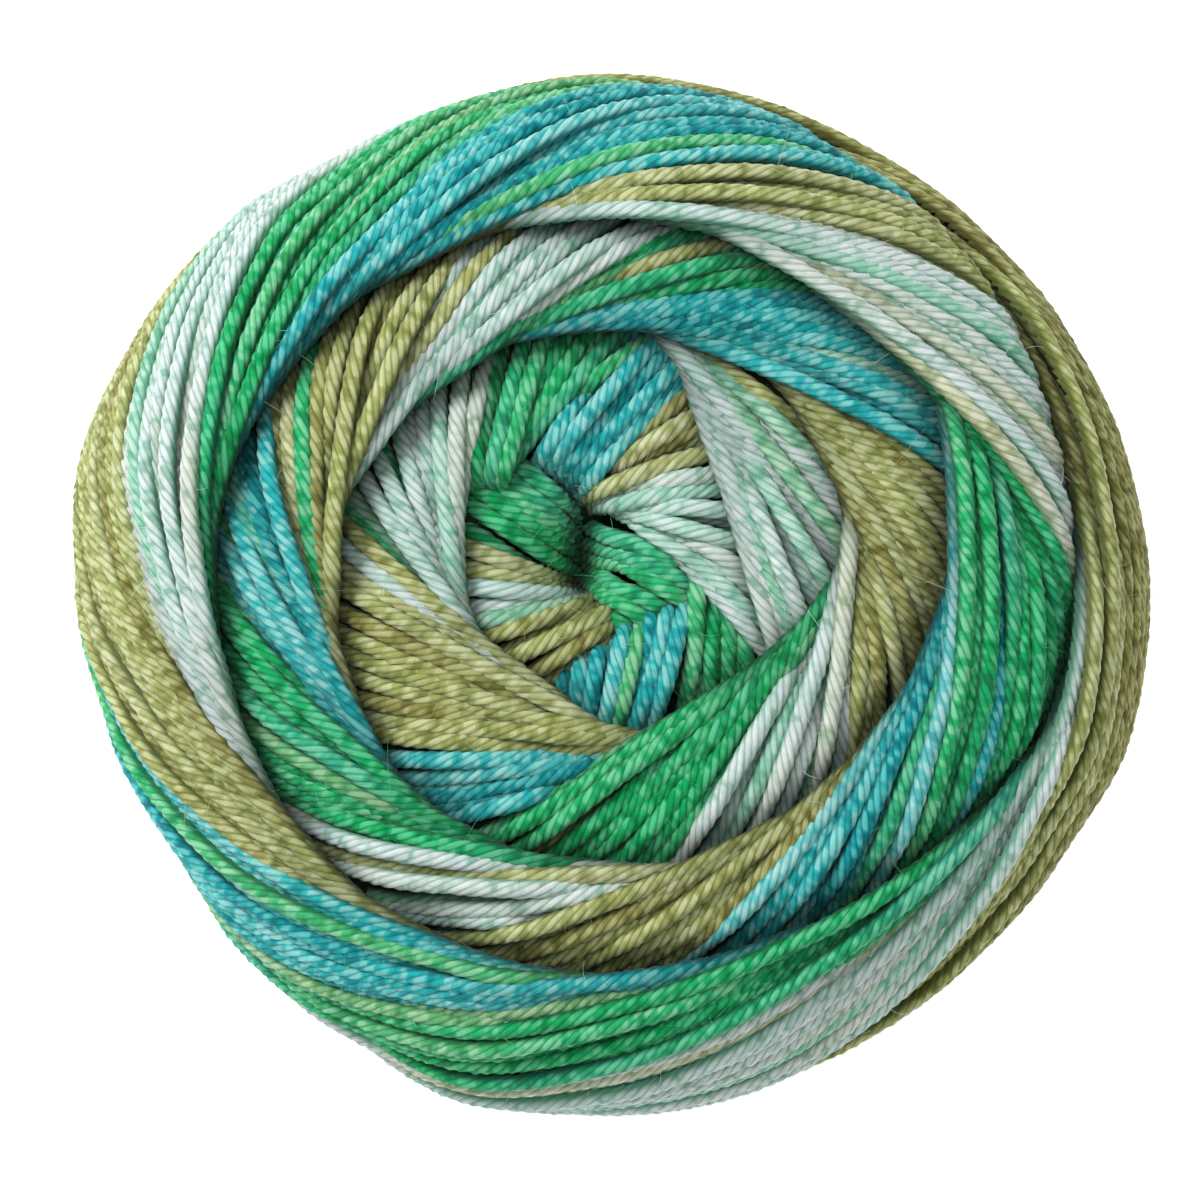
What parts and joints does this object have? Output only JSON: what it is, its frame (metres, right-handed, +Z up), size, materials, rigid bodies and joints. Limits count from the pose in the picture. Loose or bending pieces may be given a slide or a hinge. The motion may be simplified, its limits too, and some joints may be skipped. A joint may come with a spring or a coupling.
{
  "type": "yarn cake",
  "caption": "Squat round cake of variegated yarn, wound in crossing crescent bands around a small centre pit.",
  "frame": {"origin": "on the flat spot that the cake rests on, below the centre of its outer box", "axes": "+Z up along the winding axis, out of the face with the centre pit; +X to the right and +Y to the top of the picture, which looks straight down"},
  "size_m": [0.1084, 0.1054, 0.0771],
  "materials": {
    "yarn": "matt plied yarn, dyed in turns turquoise, green, white and olive"
  },
  "bodies": {
    "root": {"yarn_cake": "yarn"}
  },
  "joints": []
}
